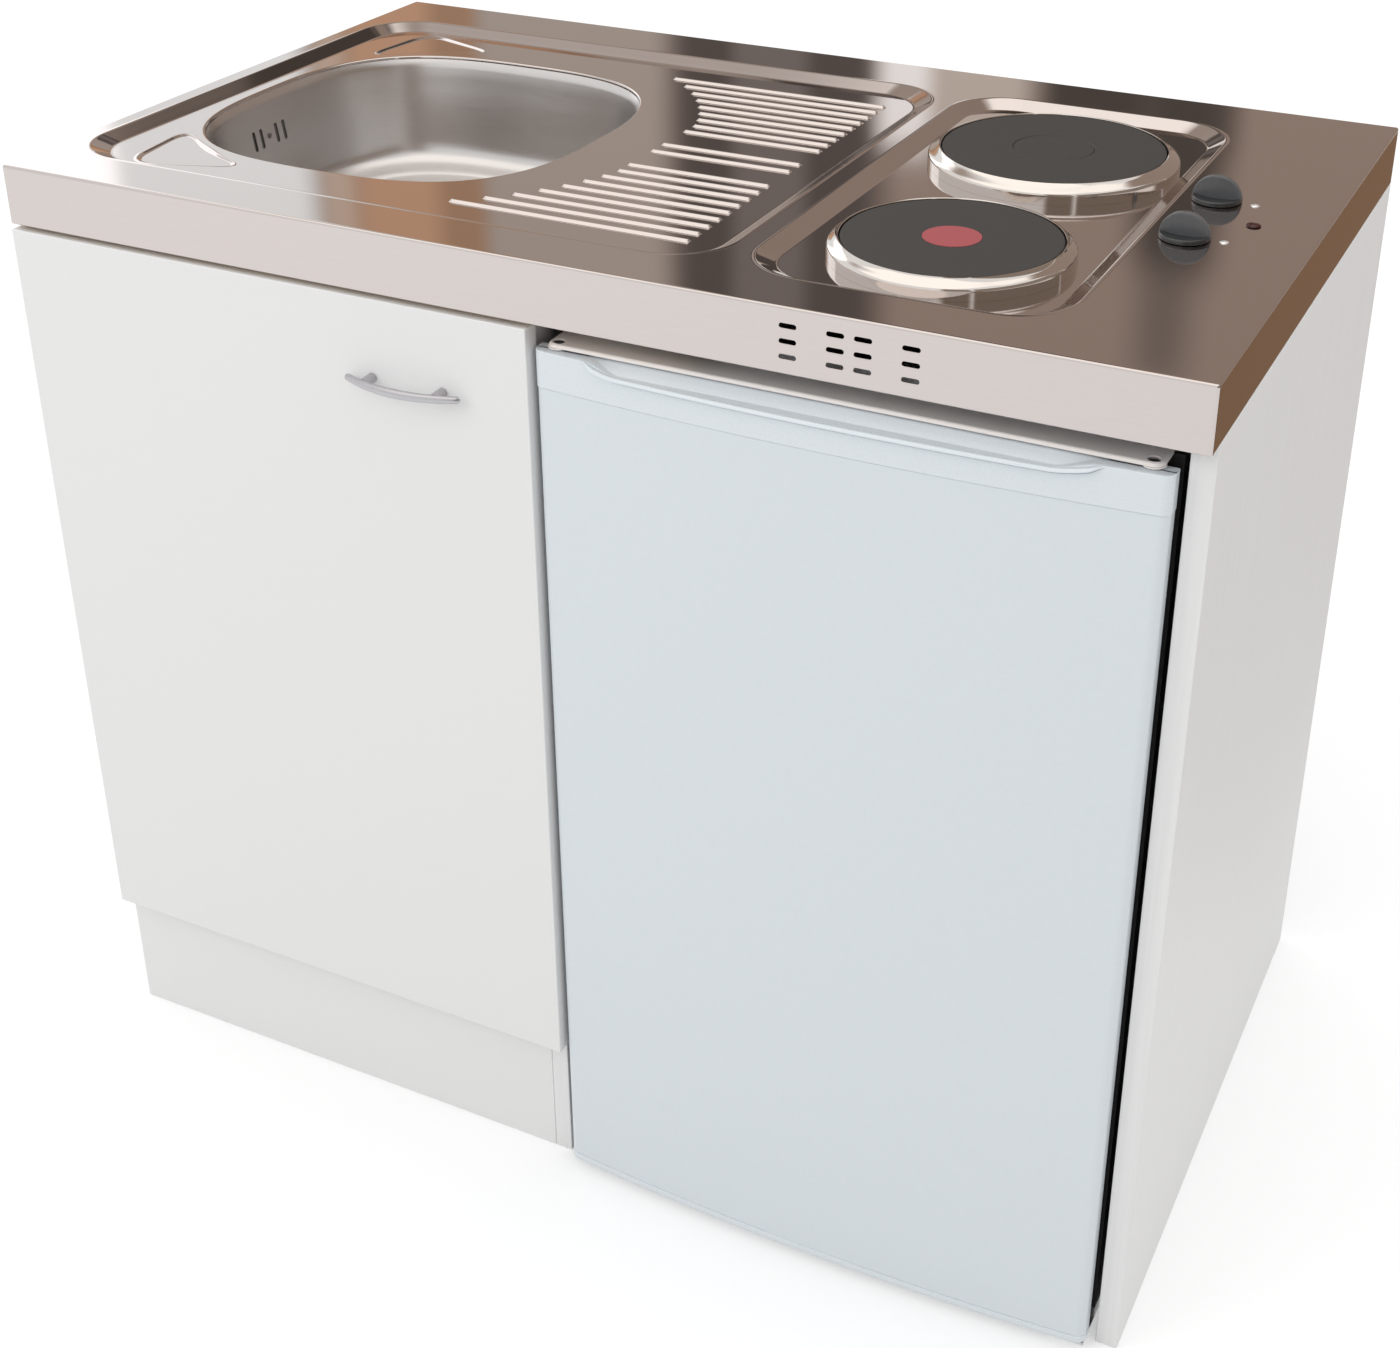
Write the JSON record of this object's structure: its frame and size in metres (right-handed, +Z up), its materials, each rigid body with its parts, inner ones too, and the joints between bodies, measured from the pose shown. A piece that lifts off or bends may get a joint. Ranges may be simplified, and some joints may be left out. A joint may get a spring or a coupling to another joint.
{
  "type": "kitchenette unit",
  "caption": "Compact kitchenette: pressed steel worktop with sink bowl, drainer and round hotplates, on a one-door cabinet with plinth and a built-under fridge behind a bowed door.",
  "frame": {"origin": "centre of the bounding box's footprint, on the floor", "axes": "+Z up, -Y towards the user at the front, +X towards the fridge side"},
  "size_m": [1, 0.624, 0.889],
  "materials": {
    "polished_steel": "polished",
    "satin_steel": "satin",
    "white_board": "satin",
    "raw_timber": "matte",
    "cast_iron": "matte",
    "red_enamel": "satin",
    "knob_plastic": "satin",
    "lamp_plastic": "gloss",
    "switch_plastic": "matte",
    "zinc_steel": "satin",
    "handle_metal": "satin",
    "door_white": "gloss",
    "cap_white": "satin",
    "liner_white": "satin",
    "black_paint": "satin",
    "foot_plastic": "matte",
    "seal_rubber": "matte",
    "shelf_glass": "gloss",
    "clear_plastic": "gloss",
    "waste_plastic": "satin"
  },
  "bodies": {
    "unit": {"worktop_sheet": "polished_steel", "rear_trim_ring": "polished_steel", "front_trim_ring": "polished_steel", "sink_bowl": "satin_steel", "waste_body": "satin_steel", "hinge_traverse": "satin_steel", "left_side_panel": "white_board", "partition_panel": "white_board", "right_side_panel": "white_board", "plinth": "white_board", "bottom_panel": "white_board", "front_rail": "white_board", "rear_rail": "white_board", "niche_rail": "white_board", "batten_front": "raw_timber", "batten_rear": "raw_timber", "rear_hotplate": "cast_iron", "front_hotplate": "cast_iron", "quick_plate_mark": "red_enamel", "pilot_lamp": "lamp_plastic", "rear_switch": "switch_plastic", "front_switch": "switch_plastic", "terminal_box": "switch_plastic", "rear_plate_clamp": "zinc_steel", "front_plate_clamp": "zinc_steel", "hob_tray": "zinc_steel", "lower_hinge_arm": "zinc_steel", "upper_hinge_arm": "zinc_steel", "bottom_hinge": "zinc_steel", "fridge_liner": "liner_white", "ice_box": "liner_white", "thermostat_box": "liner_white", "fridge_casing": "black_paint", "condenser": "black_paint", "compressor": "black_paint", "left_fridge_foot": "foot_plastic", "right_fridge_foot": "foot_plastic", "upper_shelf": "shelf_glass", "lower_shelf": "shelf_glass", "crisper": "clear_plastic", "overflow_pipe": "waste_plastic", "trap_body": "waste_plastic", "trap_outlet_pipe": "waste_plastic"},
    "cabinet_door": {"cabinet_door": "white_board", "door_handle": "handle_metal", "lower_hinge_cup": "zinc_steel", "upper_hinge_cup": "zinc_steel"},
    "fridge_door": {"fridge_door_skin": "door_white", "fridge_door_top_cap": "cap_white", "fridge_door_bottom_cap": "cap_white", "fridge_door_liner": "liner_white", "fridge_door_seal": "seal_rubber", "lower_door_rack": "clear_plastic", "upper_door_rack": "clear_plastic"},
    "front_knob": {"front_knob": "knob_plastic"},
    "rear_knob": {"rear_knob": "knob_plastic"},
    "strainer": {"sink_strainer": "satin_steel"},
    "thermostat_knob": {"thermostat_knob": "knob_plastic"},
    "ice_box_flap": {"ice_box_flap": "liner_white"}
  },
  "joints": [
    {"name": "cabinet_door_hinge", "type": "hinge", "parent": "unit", "child": "cabinet_door", "pos_m": [-0.492, -0.286, 0.4735], "axis": [0, 0, -1], "range_deg": [0, 105]},
    {"name": "fridge_door_hinge", "type": "hinge", "parent": "unit", "child": "fridge_door", "pos_m": [0.46, -0.275, 0.4], "axis": [0, 0, 1], "range_deg": [0, 110]},
    {"name": "front_knob_turn", "type": "hinge", "parent": "unit", "child": "front_knob", "pos_m": [0.408, -0.035, 0.872], "axis": [0, 0, -1], "continuous": true},
    {"name": "rear_knob_turn", "type": "hinge", "parent": "unit", "child": "rear_knob", "pos_m": [0.408, 0.058, 0.872], "axis": [0, 0, -1], "continuous": true},
    {"name": "strainer_lift", "type": "slide", "parent": "unit", "child": "strainer", "axis": [0, 0, 1], "range_m": [0, 0.12]},
    {"name": "thermostat_turn", "type": "hinge", "parent": "unit", "child": "thermostat_knob", "pos_m": [0.403, -0.139, 0.718], "axis": [0, -1, 0], "range_deg": [0, 300]},
    {"name": "ice_box_flap_hinge", "type": "hinge", "parent": "unit", "child": "ice_box_flap", "pos_m": [0.198, -0.1325, 0.7435], "axis": [-1, 0, 0], "range_deg": [0, 85]}
  ]
}
